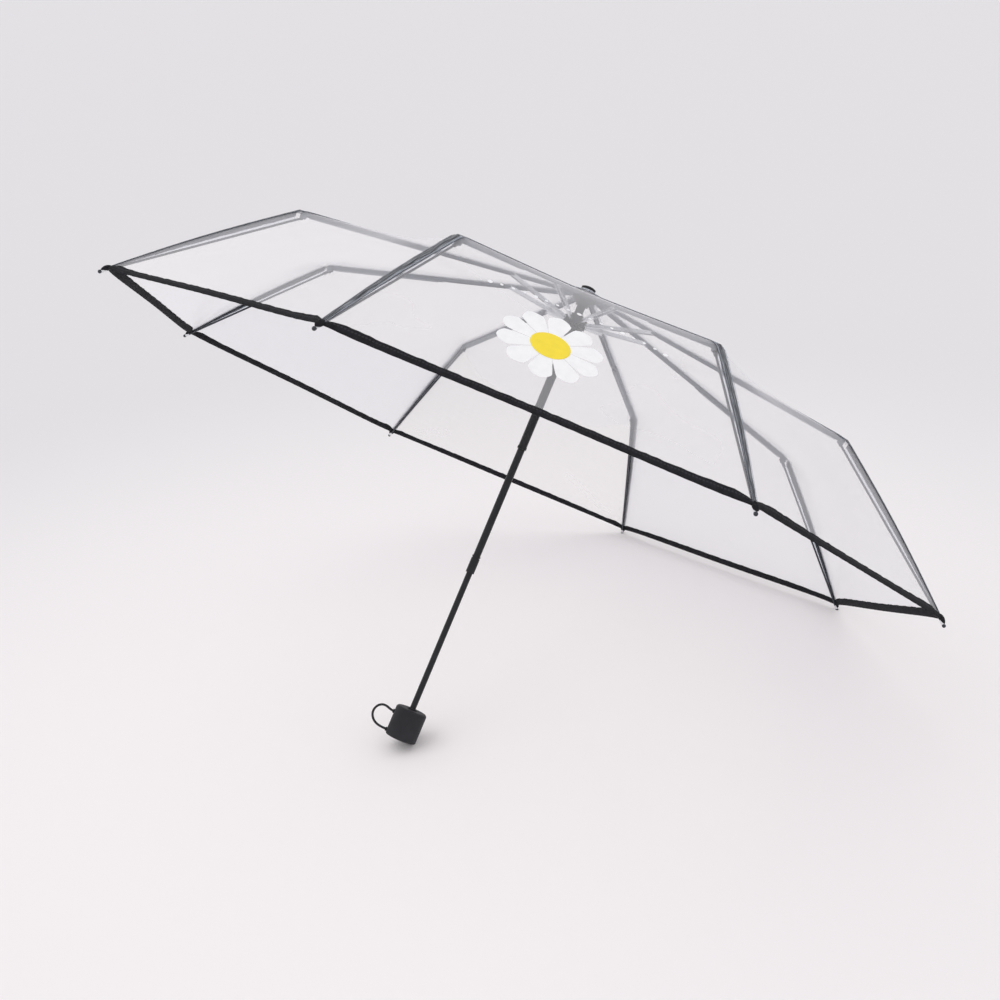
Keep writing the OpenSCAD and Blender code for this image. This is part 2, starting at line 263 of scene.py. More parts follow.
def bend_ends(obj: Object, length: float, cuts: int, steps: tuple, move: Vector) -> None:
    """Divide a straight piece along +X and bend both its ends.

    Args:
        obj: the piece, from 0 to its length along X.
        length: its length.
        cuts: how many times it is divided.
        steps: pairs of a share of the length that moves and a share of the move.
        move: how far the ends go in all.
    """
    points = obj.data.vertices

    def is_long(edge: bpy.types.MeshEdge) -> bool:
        """Say whether an edge runs along the piece."""
        a, b = (points[i].co for i in edge.vertices)
        return abs(a.x - b.x) > length / 2

    edit(obj, "EDGE", is_long)
    bpy.ops.mesh.subdivide(number_cuts=cuts)
    for reach, share in steps:
        pick(obj, lambda p, r=reach: min(p.x, length - p.x) < r * length)
        bpy.ops.transform.translate(value=tuple(share * move))
    deselect()


def smooth(obj: Object, degrees: float = 35.0) -> None:
    """Shade a piece smooth except over its sharp edges."""
    activate(obj)
    bpy.ops.object.shade_smooth_by_angle(angle=radians(degrees))


def placed_copy(source: Object, name: str, matrix: Matrix) -> Object:
    """Copy a piece with a mesh of its own, moved by a matrix, and keep the copy at the origin."""
    mesh = source.data.copy()
    mesh.name = name
    mesh.transform(matrix)
    return linked(name, mesh)


def drop(obj: Object) -> None:
    """Remove a piece that was only a pattern for its copies."""
    bpy.data.objects.remove(obj)


def dress(obj: Object, material: Material) -> None:
    """Give every face of an object one material."""
    if not obj.data.materials:
        obj.data.materials.append(material)
    for slot in obj.material_slots:
        slot.material = material


# --- finishes


@dataclass
class Graph:
    """A material's node tree, with short ways to add and join nodes."""

    name: str
    material: Material = field(init=False)

    def __post_init__(self) -> None:
        """Start an empty node tree."""
        self.material = bpy.data.materials.new(self.name)
        self.material.use_nodes = True
        self.material.node_tree.nodes.clear()

    def add(self, kind: str, **values: object) -> Node:
        """Add a node.

        Args:
            kind: the node's type, after "ShaderNode".
            **values: properties, or sockets by name with _ for a space.

        Returns:
            The node.
        """
        node = self.material.node_tree.nodes.new("ShaderNode" + kind)
        for key, value in values.items():
            socket = node.inputs.get(key.replace("_", " "))
            if socket is not None:
                self.feed(socket, value)
            else:
                setattr(node, key, value)
        return node

    def feed(self, socket: NodeSocket, value: object) -> None:
        """Link a socket to an output, or set its value."""
        if isinstance(value, NodeSocket):
            self.material.node_tree.links.new(value, socket)
        else:
            socket.default_value = value

    def math(self, operation: str, *values: object, clamp: bool = False) -> NodeSocket:
        """Add a Math node and return its output."""
        node = self.add("Math", operation=operation, use_clamp=clamp)
        for socket, value in zip(node.inputs, values):
            self.feed(socket, value)
        return node.outputs[0]

    def ramp(self, source: NodeSocket, *stops: tuple) -> NodeSocket:
        """Add a colour ramp whose stops are pairs of a position and an RGB colour."""
        node = self.add("ValToRGB", Fac=source)
        ramp = node.color_ramp
        while len(ramp.elements) < len(stops):
            ramp.elements.new(0.5)
        for element, (place, colour) in zip(ramp.elements, stops):
            element.position = place
            element.color = (*colour, 1.0)
        return node.outputs["Color"]

    def tints(self, share: object, first: object, second: object) -> NodeSocket:
        """Mix two colours, each an RGB tuple or a socket, and return the result."""
        node = self.add("Mix", data_type="RGBA")
        self.feed(node.inputs[0], share)
        for socket, colour in ((node.inputs[6], first), (node.inputs[7], second)):
            self.feed(socket, (*colour, 1.0) if isinstance(colour, tuple) else colour)
        return node.outputs[2]

    def noise(self, vector: NodeSocket, scale: float, detail: float = 3.0) -> NodeSocket:
        """Add a noise texture and return its value."""
        return self.add("TexNoise", Vector=vector, Scale=scale, Detail=detail).outputs["Fac"]

    def stretched(self, vector: NodeSocket, scale: tuple) -> NodeSocket:
        """Scale coordinates by three numbers and return them."""
        return self.add("Mapping", Vector=vector, Scale=scale).outputs["Vector"]

    def bump(self, height: NodeSocket, strength: float, depth: float) -> NodeSocket:
        """Add a bump node and return its normal."""
        return self.add("Bump", Height=height, Strength=strength, Distance=depth).outputs["Normal"]

    def blend(self, share: object, first: Node, second: Node) -> Node:
        """Add a Mix Shader of two shader nodes, with a share of the second."""
        node = self.add("MixShader", Fac=share)
        self.feed(node.inputs[1], first.outputs[0])
        self.feed(node.inputs[2], second.outputs[0])
        return node

    def lamp_share(self, share: NodeSocket, less: float) -> NodeSocket:
        """Return a share that is less for light that falls through."""
        lamp = self.add("LightPath").outputs["Is Shadow Ray"]
        return self.math("MULTIPLY", share, self.math("MULTIPLY_ADD", lamp, -less, 1.0))

    def finish(self, shader: Node) -> Material:
        """Join a shader to the output and return the material."""
        self.add("OutputMaterial", Surface=shader.outputs[0])
        return self.material


def tint(colour: tuple, factor: float) -> tuple:
    """Return a colour made lighter or darker by a factor."""
    return tuple(min(1.0, channel * factor) for channel in colour)


@dataclass(frozen=True)
class Finish:
    """What every finish has: a name, a colour and a material."""

    name: str
    colour: tuple

    def tints(self, dark: float, pale: float) -> tuple:
        """Return the colour made darker and made lighter by two factors."""
        return tint(self.colour, dark), tint(self.colour, pale)


@dataclass(frozen=True)
class CoatedMetal(Finish):
    """Painted or plated metal with faint mottling and a little wear."""

    roughness: float
    metallic: float = 0.0
    coat: float = 0.2
    mottle: float = 0.35

    def build(self) -> Material:
        """Make the material."""
        g = Graph(self.name)
        place = g.add("TexCoord").outputs["Object"]
        cloud = g.noise(place, 160.0, 4.0)
        dark, pale = self.tints(1 - self.mottle, 1 + self.mottle)
        return g.finish(g.add(
            "BsdfPrincipled",
            Base_Color=g.ramp(cloud, (0.3, dark), (0.55, self.colour), (0.8, pale)),
            Roughness=g.math("MULTIPLY_ADD", cloud, 0.18, self.roughness - 0.09),
            Normal=g.bump(g.noise(place, 1800.0, 2.0), 0.12, 0.0001),
            Metallic=self.metallic, Specular_IOR_Level=0.3,
            Coat_Weight=self.coat, Coat_Roughness=0.25,
        ))


@dataclass(frozen=True)
class MouldedPlastic(Finish):
    """Moulded plastic with a fine spark-eroded grain."""

    roughness: float
    grain: float
    depth: float

    def build(self) -> Material:
        """Make the material."""
        g = Graph(self.name)
        place = g.add("TexCoord").outputs["Object"]
        grain = g.noise(place, self.grain, 4.0)
        cloud = g.noise(place, 45.0, 2.0)
        dark, pale = self.tints(0.8, 1.3)
        return g.finish(g.add(
            "BsdfPrincipled",
            Base_Color=g.ramp(cloud, (0.3, dark), (0.75, pale)),
            Roughness=g.math("MULTIPLY_ADD", grain, 0.16, self.roughness - 0.08),
            Normal=g.bump(grain, 0.45, self.depth), Specular_IOR_Level=0.25,
        ))


@dataclass(frozen=True)
class ClearFilm(Finish):
    """Soft clear film: see-through, a little milky, and glossier at a slant."""

    haze: float
    slant: float
    ripple: float

    def build(self) -> Material:
        """Make the material."""
        g = Graph(self.name)
        place = g.add("TexCoord").outputs["Object"]
        broad = g.noise(place, 9.0, 1.0)
        normal = g.bump(broad, self.ripple, 0.004)
        colour = (*self.colour, 1.0)
        gloss = g.add(
            "BsdfPrincipled", Base_Color=colour, Roughness=0.16, Normal=normal,
            Specular_IOR_Level=0.8,
        )
        milky = g.blend(0.4, gloss, g.add("BsdfTranslucent", Color=colour))
        edge = g.add("Fresnel", IOR=1.45, Normal=normal).outputs[0]
        cloud = g.math("MULTIPLY_ADD", broad, 0.06, self.haze - 0.03)
        share = g.math("MULTIPLY_ADD", edge, self.slant, cloud, clamp=True)
        clear = g.add("BsdfTransparent", Color=(0.998, 0.99, 0.975, 1.0))
        return g.finish(g.blend(g.lamp_share(share, 0.75), clear, milky))


@dataclass(frozen=True)
class WeldedSeam:
    """Film welded over the rib: a tinted core, clear margins and a dense line at each edge."""

    name: str
    film: tuple
    core: tuple
    edge: tuple
    core_share: float
    core_width: float
    core_off: float

    def build(self) -> Material:
        """Make the material. The UV map runs across the seam and along it."""
        g = Graph(self.name)
        uv = g.add("TexCoord").outputs["UV"]
        across = g.add("SeparateXYZ", Vector=uv).outputs[0]
        streaks = g.noise(g.stretched(uv, (9.0, 4.0, 1.0)), 2.2, 4.0)
        sway = g.noise(g.stretched(uv, (0.6, 7.0, 1.0)), 2.0, 2.0)
        place = g.math("ADD", across, g.math("MULTIPLY_ADD", sway, 0.16, -0.08))
        off = g.math("ABSOLUTE", g.math("SUBTRACT", across, 0.5))
        rim = g.add("MapRange", Value=off, From_Min=0.37, From_Max=0.47).outputs[0]
        aside = g.math("ABSOLUTE", g.math("SUBTRACT", place, 0.5 + self.core_off))
        half = self.core_width / 2
        inside = g.add("MapRange", Value=aside, From_Min=half + 0.05, From_Max=half - 0.03)
        inside = inside.outputs[0]
        # light: noise streaks lighten the core towards a paler film tint, a painted highlight
        # along the seam
        light = g.math("MULTIPLY_ADD", streaks, 3.2, -1.5, clamp=True)
        colour = g.tints(inside, self.film, g.tints(light, self.core, tint(self.film, 0.55)))
        gloss = g.add(
            "BsdfPrincipled", Base_Color=g.tints(rim, colour, self.edge), Roughness=0.18,
            Normal=g.bump(streaks, 0.35, 0.002), Specular_IOR_Level=0.3,
        )
        share = g.math("MULTIPLY_ADD", inside, self.core_share, 0.14)
        share = g.math("MULTIPLY_ADD", rim, 0.42, share, clamp=True)
        clear = g.add("BsdfTransparent", Color=(0.97, 0.98, 1.0, 1.0))
        return g.finish(g.blend(g.lamp_share(share, 0.4), clear, gloss))


@dataclass(frozen=True)
class WovenTape(Finish):
    """Black woven binding with a line of stitches along its inner edge."""

    thread: tuple
    rows: float
    threads: float
    stitches: float

    def build(self) -> Material:
        """Make the material. The UV map runs round the tape and along it."""
        g = Graph(self.name)
        uv = g.add("TexCoord").outputs["UV"]
        parts = g.add("SeparateXYZ", Vector=uv)
        round_it, along = parts.outputs[0], parts.outputs[1]
        warp = g.math("SINE", g.math("MULTIPLY", round_it, self.rows * 2 * pi))
        weft = g.math("SINE", g.math("MULTIPLY", along, self.threads * 2 * pi))
        weave = g.math("MULTIPLY", warp, weft)
        cloud = g.noise(g.stretched(uv, (2.0, 24.0, 1.0)), 3.0, 4.0)
        off = g.math("ABSOLUTE", g.math("SUBTRACT", round_it, 0.27))
        dash = g.math("LESS_THAN", g.math("FRACT", g.math("MULTIPLY", along, self.stitches)), 0.62)
        stitch = g.math("MULTIPLY", g.math("LESS_THAN", off, 0.018), dash)
        dark, pale = self.tints(0.6, 1.7)
        cloth = g.ramp(cloud, (0.25, dark), (0.8, pale))
        height = g.math("MULTIPLY_ADD", stitch, 1.6, g.math("MULTIPLY_ADD", weave, 0.3, cloud))
        return g.finish(g.add(
            "BsdfPrincipled", Base_Color=g.tints(stitch, cloth, self.thread), Roughness=0.86,
            Normal=g.bump(height, 0.5, 0.0004), Specular_IOR_Level=0.15,
        ))


@dataclass(frozen=True)
class Ink(Finish):
    """Screen-printed ink, matte, with a faint unevenness of its thickness."""

    def build(self) -> Material:
        """Make the material."""
        g = Graph(self.name)
        place = g.add("TexCoord").outputs["Object"]
        cloud = g.noise(place, 130.0, 3.0)
        dark, pale = self.tints(0.95, 1.03)
        return g.finish(g.add(
            "BsdfPrincipled", Base_Color=g.ramp(cloud, (0.25, dark), (0.8, pale)), Roughness=0.55,
            Normal=g.bump(g.noise(place, 900.0, 2.0), 0.1, 0.0002),
        ))


@dataclass(frozen=True)
class Paper:
    """The studio's seamless floor. It can't be seen from underneath."""

    name: str
    # near: the lighter colour under the object, a painted pool of light
    near: tuple
    far: tuple

    def build(self) -> Material:
        """Make the material: painted light pooled under the object, a little darker far away."""
        g = Graph(self.name)
        place = g.add("TexCoord").outputs["Object"]
        away = g.add("VectorMath", operation="LENGTH")
        g.feed(away.inputs[0], place)
        cloud = g.math("MULTIPLY_ADD", g.noise(place, 0.9, 3.0), 0.12, away.outputs["Value"])
        # painted light: the colour grows lighter towards the object's origin and fades out with
        # distance
        share = g.add(
            "MapRange", Value=cloud, From_Min=0.35, From_Max=1.6, interpolation_type="SMOOTHSTEP"
        ).outputs[0]
        paint = g.add(
            "BsdfPrincipled", Base_Color=g.tints(share, self.near, self.far), Roughness=0.75,
            Specular_IOR_Level=0.15,
        )
        behind = g.add("NewGeometry").outputs["Backfacing"]
        return g.finish(g.blend(behind, paint, g.add("BsdfTransparent")))


@dataclass(frozen=True)
class Finishes:
    """Every material of the umbrella, made once, by the record's slot."""

    made: dict[str, Material]

    @staticmethod
    def build() -> "Finishes":
        """Make all the materials."""
        clear = (0.8, 0.84, 0.92)
        finishes = (
            ClearFilm("film", (0.915, 0.915, 0.945), 0.24, 0.5, 0.2),
            ClearFilm("gathered_film", (0.87, 0.89, 0.95), 0.55, 0.5, 0.3),
            WeldedSeam(
                "seam_film", clear, (0.045, 0.062, 0.095), (0.05, 0.066, 0.1), 0.72, 0.5, 0.04
            ),
            WeldedSeam(
                "end_seam", clear, (0.018, 0.022, 0.03), (0.03, 0.037, 0.052), 0.86, 0.66, -0.05
            ),
            WeldedSeam(
                "seam_fin", (0.7, 0.74, 0.82), (0.02, 0.024, 0.032), (0.035, 0.042, 0.056),
                0.8, 0.66, -0.22,
            ),
            WovenTape(
                "hem_fabric", (0.014, 0.014, 0.017), (0.035, 0.035, 0.04), 30.0, 560.0, 120.0
            ),
            Ink("print_white", (0.93, 0.93, 0.94)),
            Ink("print_yellow", (0.95, 0.74, 0.03)),
            CoatedMetal("rib_paint", (0.10, 0.118, 0.15), 0.4, 0.35),
            CoatedMetal("bright_steel", (0.62, 0.64, 0.67), 0.3, 1.0, 0.0, 0.12),
            CoatedMetal("end_wire", (0.04, 0.045, 0.055), 0.38, 0.2),
            CoatedMetal("tip_metal", (0.76, 0.77, 0.79), 0.2, 1.0, 0.0, 0.08),
            CoatedMetal("shaft_paint", (0.009, 0.01, 0.012), 0.36, 0.0, 0.06),
            MouldedPlastic("hub_plastic", (0.017, 0.017, 0.019), 0.48, 900.0, 0.0003),
            MouldedPlastic("handle_plastic", (0.021, 0.021, 0.025), 0.62, 1400.0, 0.0004),
            MouldedPlastic("loop_cord", (0.019, 0.019, 0.021), 0.5, 1100.0, 0.0002),
        )
        return Finishes({f.name: f.build() for f in finishes})

    def __getitem__(self, slot: str) -> Material:
        """Return the material of a slot."""
        return self.made[slot]


# --- the canopy's shape


def level_side(turn: float) -> tuple:
    """Return the level direction at right angles to an azimuth."""
    return (-sin(turn), cos(turn), 0.0)


@dataclass(frozen=True)
class CanopyShape:
    """The film's surface between the ribs, from the CAD model's own sizes."""

    ribs: int = 8
    pivot_r: float = 9.5 * MM
    crown_z: float = 525 * MM
    lift: float = 2.7 * MM
    plate_edge: tuple = (14.57 * MM, 529.15 * MM)
    slope_end: float = 36 * MM
    top_len: float = 166 * MM
    strut_len: float = 81 * MM
    fold: tuple = (324 * MM, 466.5 * MM)
    tip: tuple = (470 * MM, 332 * MM)
    rounding: float = 74 * MM
    bow: float = 2.2 * MM
    pucker: float = 0.9 * MM
    belly: float = 2.5 * MM
    pucker_start: float = 20 * MM
    pucker_fade: float = 55 * MM

    @property
    def half(self) -> float:
        """Half the angle between two ribs."""
        return pi / self.ribs

    @property
    def slope(self) -> float:
        """The angle at which the top and middle ribs go down."""
        dx, dz = self.fold[0] - self.pivot_r, self.crown_z - self.fold[1]
        return atan2(dz, dx) + asin(self.lift / hypot(dx, dz))

    def rib_azimuth(self, rib: int) -> float:
        """Return the direction of a rib, counted from 1."""
        return (rib + 3.5) * 2 * self.half

    def gore_azimuth(self, gore: int) -> float:
        """Return the direction of the middle line of a gore, which follows its rib."""
        return (gore + 4) * 2 * self.half

    def on_line(self, along: float, up: float = 0.0) -> tuple:
        """Return the radius and height of a point along the straight ribs and up from them."""
        c, s = cos(self.slope), sin(self.slope)
        return (self.pivot_r + along * c + up * s, self.crown_z - along * s + up * c)

    @property
    def knots(self) -> ndarray:
        """The corners of the film along a rib, as rows of radius and height."""
        return np.array([
            self.plate_edge, self.on_line(self.slope_end, self.lift),
            self.on_line(self.top_len, self.lift), self.fold, self.tip,
        ])

    @property
    def marks(self) -> ndarray:
        """The distance of each knot along the film."""
        steps = np.linalg.norm(np.diff(self.knots, axis=0), axis=1)
        return np.concatenate([[0], np.cumsum(steps)])

    def span(self, section: Section) -> tuple:
        """Return where a section starts and ends along the film."""
        first, last = {"inner": (0, 2), "middle": (2, 3), "outer": (3, 4)}[section.value]
        return self.marks[first], self.marks[last]

    def line(self, along: ndarray) -> ndarray:
        """Return radius and height along a rib's film, past both ends too."""
        knots, marks = self.knots, self.marks
        i = np.clip(np.searchsorted(marks, along, side="right") - 1, 0, len(knots) - 2)
        share = (along - marks[i]) / (marks[i + 1] - marks[i])
        dr, dz = (knots[4] - knots[3]) / (marks[4] - marks[3])
        swell = np.where(i == 3, self.belly * np.sin(pi * np.clip(share, 0, 1)), 0.0)
        straight = knots[i] + share[:, None] * (knots[i + 1] - knots[i])
        return straight + swell[:, None] * np.array([-dz, dr])

    def point(self, gore: int, across: ndarray, along: ndarray) -> ndarray:
        """Return places on a gore's film.

        Args:
            gore: the gore's number.
            across: from -1 at its own rib to 1 at the next rib.
            along: distance along the film from the crown.

        Returns:
            Places as rows of three.
        """
        knots, marks = self.knots, self.marks
        raw = self.line(along)
        open_part = np.clip(1 - across**2, 0, 1)
        width = np.maximum(self.rounding * open_part**0.8, NO_WIDTH)
        near = np.clip(width - np.abs(along - marks[3]), 0, None)
        unit = [(knots[j + 1] - knots[j]) / (marks[j + 1] - marks[j]) for j in (2, 3)]
        eased = raw + (near**2 / (4 * width))[:, None] * (unit[1] - unit[0])
        wave = np.sin(pi * np.clip((along - marks[1]) / (marks[4] - marks[1]), 0, 1))
        sink = self.bow * open_part * wave
        corner = np.hypot((1 - np.abs(across)) * raw[:, 0] * sin(self.half), marks[4] - along)
        turn = np.arctan2(marks[4] - along, (1 - np.abs(across)) * raw[:, 0] + NO_WIDTH)
        fade = np.clip(corner / self.pucker_start, 0, 1) * np.exp(-corner / self.pucker_fade)
        sink = sink + self.pucker * fade * open_part * 6 * np.sin(14 * turn + gore)
        middle = self.gore_azimuth(gore)
        out = np.array([cos(middle), sin(middle), 0.0])
        side = np.array(level_side(middle))
        reach = eased[:, 0] * cos(self.half) - sink * 0.35
        return (
            reach[:, None] * out
            + (across * raw[:, 0] * sin(self.half))[:, None] * side
            + (eased[:, 1] - sink)[:, None] * np.array([0.0, 0.0, 1.0])
        )

    def normal(self, gore: int, across: ndarray, along: ndarray) -> ndarray:
        """Return outward normals on a gore's film, as point() takes its arguments."""
        step = 1e-4
        a = self.point(gore, across + step, along) - self.point(gore, across - step, along)
        b = self.point(gore, across, along + step) - self.point(gore, across, along - step)
        n = np.cross(b, a)
        return n / np.linalg.norm(n, axis=1)[:, None]

    def over(self, gore: int, across: ndarray, along: ndarray, up: ndarray) -> ndarray:
        """Return places that stand a height above a gore's film."""
        height = np.broadcast_to(np.asarray(up, float), across.shape)
        return self.point(gore, across, along) + height[:, None] * self.normal(gore, across, along)

    def beside(self, rib: int, off: ndarray, along: ndarray, up: ndarray) -> ndarray:
        """Return places beside a rib's line, over the film of the gore on either side.

        Args:
            rib: the rib's number.
            off: signed distance from the rib, towards the next rib if positive.
            along: distance along the film from the crown.
            up: height above the film.
        """
        half_width = np.maximum(self.line(along)[:, 0] * sin(self.half), 1e-4)
        share = np.abs(off) / half_width
        before = (rib - 2) % self.ribs + 1
        here = self.over(rib, -1 + share, along, up)
        there = self.over(before, 1 - share, along, up)
        return np.where((off >= 0)[:, None], here, there)

    def rib_place(self, rib: int, radius: float, height: float) -> Vector:
        """Return a point in a rib's own plane as a place in the frame."""
        turn = self.rib_azimuth(rib)
        return Vector((radius * cos(turn), radius * sin(turn), height))

    def rib_frame(self, rib: int, start: tuple, end: tuple) -> Matrix:
        """Return the matrix that lays a piece drawn along +X between two points by a rib."""
        a, b = self.rib_place(rib, *start), self.rib_place(rib, *end)
        x = (b - a).normalized()
        y = Vector(level_side(self.rib_azimuth(rib)))
        z = x.cross(y)
        return Matrix((
            (x.x, y.x, z.x, a.x), (x.y, y.y, z.y, a.y), (x.z, y.z, z.z, a.z), (0, 0, 0, 1),
        ))


# --- soft pieces


@dataclass
class Assembly:
    """A sub-assembly that is dressed from the umbrella's finishes."""

    finishes: Finishes

    def settle(self, obj: Object, body: str, slot: str, finish: str = "") -> None:
        """Dress a new piece, ride it on its body and log it.

        Args:
            obj: the finished piece.
            body: the CAD body that it moves with.
            slot: the record's material slot.
            finish: the name of its material, if it isn't the slot's own.
        """
        dress(obj, self.finishes[finish or slot])
        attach(obj, body)
        log.info("%s rides on %s", obj.name, body)


@dataclass
class CanopyPart(Assembly):
    """A sub-assembly that follows the canopy's shape and folds with it."""

    shape: CanopyShape

    def fold_to(self, obj: Object, gore: int, corner: tuple) -> None:
        """Give a gore's piece a mesh of its own."""
        level_side(self.shape.gore_azimuth(gore))
        tuple(self.shape.rib_place(gore, *corner))
        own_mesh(obj)

    def fold_beside(self, obj: Object, rib: int, aside: float, keep: float) -> None:
        """Give a rib's piece a mesh of its own."""
        side = Vector(level_side(self.shape.rib_azimuth(rib)))
        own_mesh(obj)


@dataclass
class Film(CanopyPart):
    """The clear film: eight gores, each in sections that fold with the ribs."""

    hole_r: float = 4.2 * MM
    inner_aside: float = 4.8 * MM
    collar_lip: float = 8.5 * MM
    collar_rise: float = 3.4 * MM
    pleats: int = 16
    pieces: dict[tuple, Object] = field(default_factory=dict)

    def panel(self, gore: int, section: Section) -> Object:
        """Make one section of one gore, riding on its CAD stand-in's body."""
        start, end = self.shape.span(section)
        rows = 14 if section is Section.MIDDLE else 20

        def mapping(x: ndarray, y: ndarray) -> ndarray:
            """Spread the grid over the gore, its far edge at the crown's side."""
            return self.shape.point(gore, x, start + (end - start) * (1 - y) / 2)

        obj = mapped_grid(f"film_{section.value}_{gore}", 28, rows, mapping)
        smooth(obj, SOFT_EDGE)
        body = f"canopy_{section.value}_{gore}"
        self.settle(obj, body, "film")
        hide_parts(body)
        corner = self.shape.fold if section is Section.MIDDLE else self.shape.tip
        self.fold_to(obj, gore, corner)
        return obj

    def inner(self, rib: int) -> Object:
        """Make the film over one top rib, out to the middle of the gore on either side."""
        start, end = self.shape.span(Section.INNER)
        before = (rib - 2) % self.shape.ribs + 1

        def mapping(x: ndarray, y: ndarray) -> ndarray:
            """Spread the grid over the two half gores beside the rib."""
            along = start + (end - start) * (1 - y) / 2
            here = self.shape.point(rib, np.abs(x) - 1, along)
            there = self.shape.point(before, 1 - np.abs(x), along)
            return np.where((x >= 0)[:, None], here, there)

        obj = mapped_grid(f"film_inner_{rib}", 20, 14, mapping)
        smooth(obj, SOFT_EDGE)
        self.settle(obj, f"rib_top_{rib}", "film")
        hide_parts("canopy_crown")
        self.fold_beside(obj, rib, -self.inner_aside, FOLDED_SHARE / 2)
        return obj

    def crown_disc(self) -> None:
        """Make the small flat ring of film that the cap holds on the crown."""
        rim_r, height = self.shape.plate_edge
        obj = primitive(
            bpy.ops.mesh.primitive_circle_add, "film_crown", vertices=self.shape.ribs,
            radius=rim_r, fill_type="NGON",
            location=(0, 0, height), rotation=(0, 0, self.shape.rib_azimuth(1)),
        )
        edit(obj, "FACE")
        bpy.ops.mesh.inset(thickness=(rim_r - self.hole_r) * cos(self.shape.half))
        bpy.ops.mesh.delete(type="FACE")
        deselect()
        self.settle(obj, "top_tube", "film")
        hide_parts("canopy_crown")

    def collar(self) -> None:
        """Make the film gathered up round the cap, in small pleats."""
        foot, base = self.shape.plate_edge

        def mapping(x: ndarray, y: ndarray) -> ndarray:
            """Roll the grid round the shaft and raise its inner edge."""
            turn, share = pi * x, (1 - y) / 2
            fold = 0.35 * MM * np.sin(self.pleats * turn) * np.sin(pi * share)
            radius = foot - 0.6 * MM + (self.collar_lip - foot) * share**0.8 + fold
            height = base + 0.3 * MM + self.collar_rise * share**1.6
            return np.c_[radius * np.cos(turn), radius * np.sin(turn), height]

        obj = mapped_grid("film_collar", 96, 8, mapping)
        edit(obj)
        bpy.ops.mesh.remove_doubles(threshold=WELD)
        deselect()
        apply_modifier(obj, "SOLIDIFY", thickness=0.25 * MM, offset=0.0)
        smooth(obj, SOFT_EDGE)
        self.settle(obj, "top_tube", "film", "gathered_film")

    def flat_cut(self, section: Section) -> tuple:
        """Return a section's flat width and length, and its area, with no stretch."""
        start, end = (self.shape.line(np.array([s]))[0] for s in self.shape.span(section))
        c, s = cos(self.shape.half), sin(self.shape.half)
        length = hypot((end[0] - start[0]) * c, end[1] - start[1])
        narrow, wide = 2 * start[0] * s, 2 * end[0] * s
        return (wide, length), (narrow + wide) / 2 * length

    def build(self) -> None:
        """Make every piece of the film."""
        self.crown_disc()
        self.collar()
        for k in range(1, self.shape.ribs + 1):
            self.pieces[Section.INNER, k] = self.inner(k)
            for section in (Section.MIDDLE, Section.OUTER):
                self.pieces[section, k] = self.panel(k, section)

    def declare(self, extras: dict[tuple, list]) -> None:
        """Work out each section's flat size and area.

        Args:
            extras: the pieces on each section, by section and number; not used.
        """
        for (section, k), obj in self.pieces.items():
            flat, area = self.flat_cut(section)


